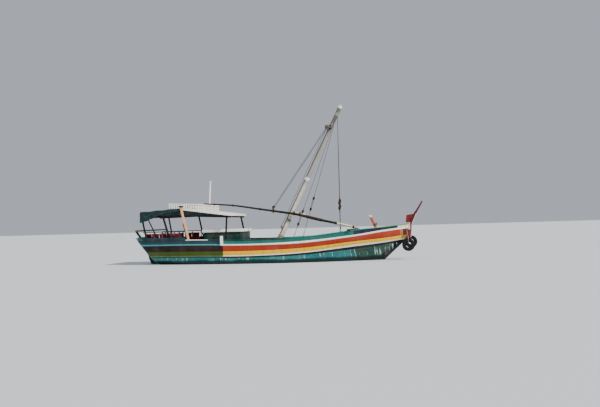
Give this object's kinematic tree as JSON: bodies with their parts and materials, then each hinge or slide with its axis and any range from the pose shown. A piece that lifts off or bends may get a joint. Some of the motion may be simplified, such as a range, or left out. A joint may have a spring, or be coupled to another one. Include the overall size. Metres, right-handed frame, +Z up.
{
  "type": "lateen sailing dhow",
  "caption": "Wooden dhow with raked mast, lowered lateen yard, striped topsides, canopy aft with railed roof, tyre fenders and a stern-hung rudder with tiller.",
  "frame": {"origin": "on the waterline, amidships, on the centreline: the point that the water holds up", "axes": "+X towards the bow, +Y to port, +Z up"},
  "size_m": [16.8177, 4.3924, 9.648],
  "materials": {
    "hull_green_paint": "worn dark green paint on planking, with pale scratches and drips",
    "stem_paint": "dark maroon paint on timber",
    "red_paint": "faded brick red paint on timber",
    "teal_paint": "teal paint on timber",
    "wale_paint": "yellow paint over a thin white line and a black line",
    "post_paint": "cream paint on timber",
    "rail_paint": "pale green paint on timber",
    "white_paint": "cream white paint on timber",
    "bottom_timber": "dark coated timber",
    "pale_timber": "bare weathered timber",
    "deck_timber": "bare weathered deck boards",
    "dark_timber": "dark oiled timber",
    "mast_timber": "weathered pale grey timber, browner near the foot",
    "yard_timber": "weathered brown-grey pole",
    "rope": "laid rope",
    "cushion_cloth": "red cloth",
    "tarpaulin_cloth": "dark green tarpaulin",
    "tyre_rubber": "old black rubber"
  },
  "bodies": {
    "hull": {"back_cushion_port": "cushion_cloth", "back_cushion_starboard": "cushion_cloth", "bench_port": "pale_timber", "bench_starboard": "pale_timber", "bulwark_port": "teal_paint", "bulwark_starboard": "teal_paint", "canopy_cross_beam_1": "dark_timber", "canopy_cross_beam_2": "dark_timber", "canopy_cross_beam_3": "dark_timber", "canopy_cross_beam_4": "dark_timber", "canopy_cross_beam_5": "dark_timber", "canopy_frame_port": "dark_timber", "canopy_frame_starboard": "dark_timber", "canopy_side_board_port": "hull_green_paint", "canopy_side_board_starboard": "hull_green_paint", "cap_rail_port": "rail_paint", "cap_rail_starboard": "rail_paint", "deck_planking": "deck_timber", "deckhouse": "hull_green_paint", "deckhouse_top": "white_paint", "flag_pole": "white_paint", "fore_cross_beam": "dark_timber", "hull_body": "hull_green_paint", "keel": "bottom_timber", "mast": "mast_timber", "mast_beam": "dark_timber", "masthead_block": "dark_timber", "mooring_post": "red_paint", "quarter_rail_port": "teal_paint", "quarter_rail_starboard": "teal_paint", "red_strake_port": "red_paint", "red_strake_starboard": "red_paint", "roof_deck": "white_paint", "roof_post": "post_paint", "roof_railing": "white_paint", "stay_aft_port": "rope", "stay_aft_starboard": "rope", "stay_fore_port": "rope", "stay_fore_starboard": "rope", "stem_board": "red_paint", "stem_post": "stem_paint", "stem_spike": "stem_paint", "sternpost": "bottom_timber", "tarpaulin": "tarpaulin_cloth", "timberhead_port": "white_paint", "timberhead_starboard": "white_paint", "transom": "teal_paint", "tyre_fender_port": "tyre_rubber", "tyre_fender_starboard": "tyre_rubber", "tyre_rope_port": "rope", "tyre_rope_starboard": "rope", "wale_strake_port": "wale_paint", "wale_strake_starboard": "wale_paint"},
    "rudder": {"rudder": "bottom_timber", "tiller": "pale_timber"},
    "hoisting_block": {"hoisting_block": "dark_timber"},
    "yard": {"yard": "yard_timber", "yard_tail": "yard_timber", "yard_fish": "pale_timber"}
  },
  "joints": [
    {"name": "rudder_hinge", "type": "hinge", "parent": "hull", "child": "rudder", "pos_m": [-6.8503, 0, 0], "axis": [-0.5843, 0, 0.8115], "range_deg": [-35, 35]},
    {"name": "yard_hoist", "type": "slide", "parent": "hull", "child": "hoisting_block", "axis": [0.5876, 0, 0.8091], "range_m": [0, 3]},
    {"name": "yard_peak", "type": "hinge", "parent": "hoisting_block", "child": "yard", "pos_m": [0.06, -0.3, 2.87], "axis": [0, 1, 0], "range_deg": [0, 19]}
  ],
  "couplings": [
    {"joint": "yard_peak", "follows": "yard_hoist", "rad_per_m": 0.11}
  ]
}
